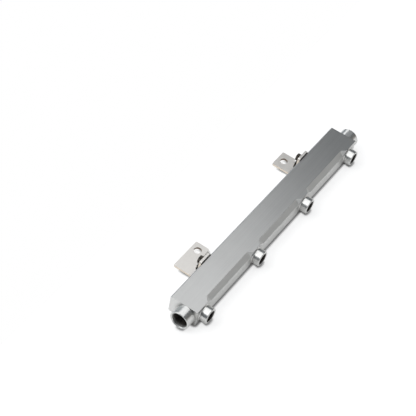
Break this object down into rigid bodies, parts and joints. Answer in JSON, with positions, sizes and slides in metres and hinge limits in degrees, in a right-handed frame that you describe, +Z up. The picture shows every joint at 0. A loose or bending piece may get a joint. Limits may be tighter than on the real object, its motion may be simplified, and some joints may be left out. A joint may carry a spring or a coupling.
{
  "type": "fuel rail",
  "caption": "Straight machined fuel rail with injector cups along its front, a threaded port at each end and folded steel brackets screwed to its back.",
  "frame": {"origin": "centre of the near bracket's bolt hole, at the underside of its foot", "axes": "+X along the bar to its far end, +Y to the bracket side, away from the cups, +Z up through the feet"},
  "size_m": [0.396, 0.0843, 0.0354],
  "materials": {
    "bar": "brushed, clear anodised",
    "bracket": "zinc plated",
    "screw": "bright plated"
  },
  "bodies": {
    "root": {"rail_body": "bar", "near_bracket": "bracket", "far_bracket": "bracket", "near_lower_screw": "screw", "near_upper_screw": "screw", "far_lower_screw": "screw", "far_upper_screw": "screw"}
  },
  "joints": []
}
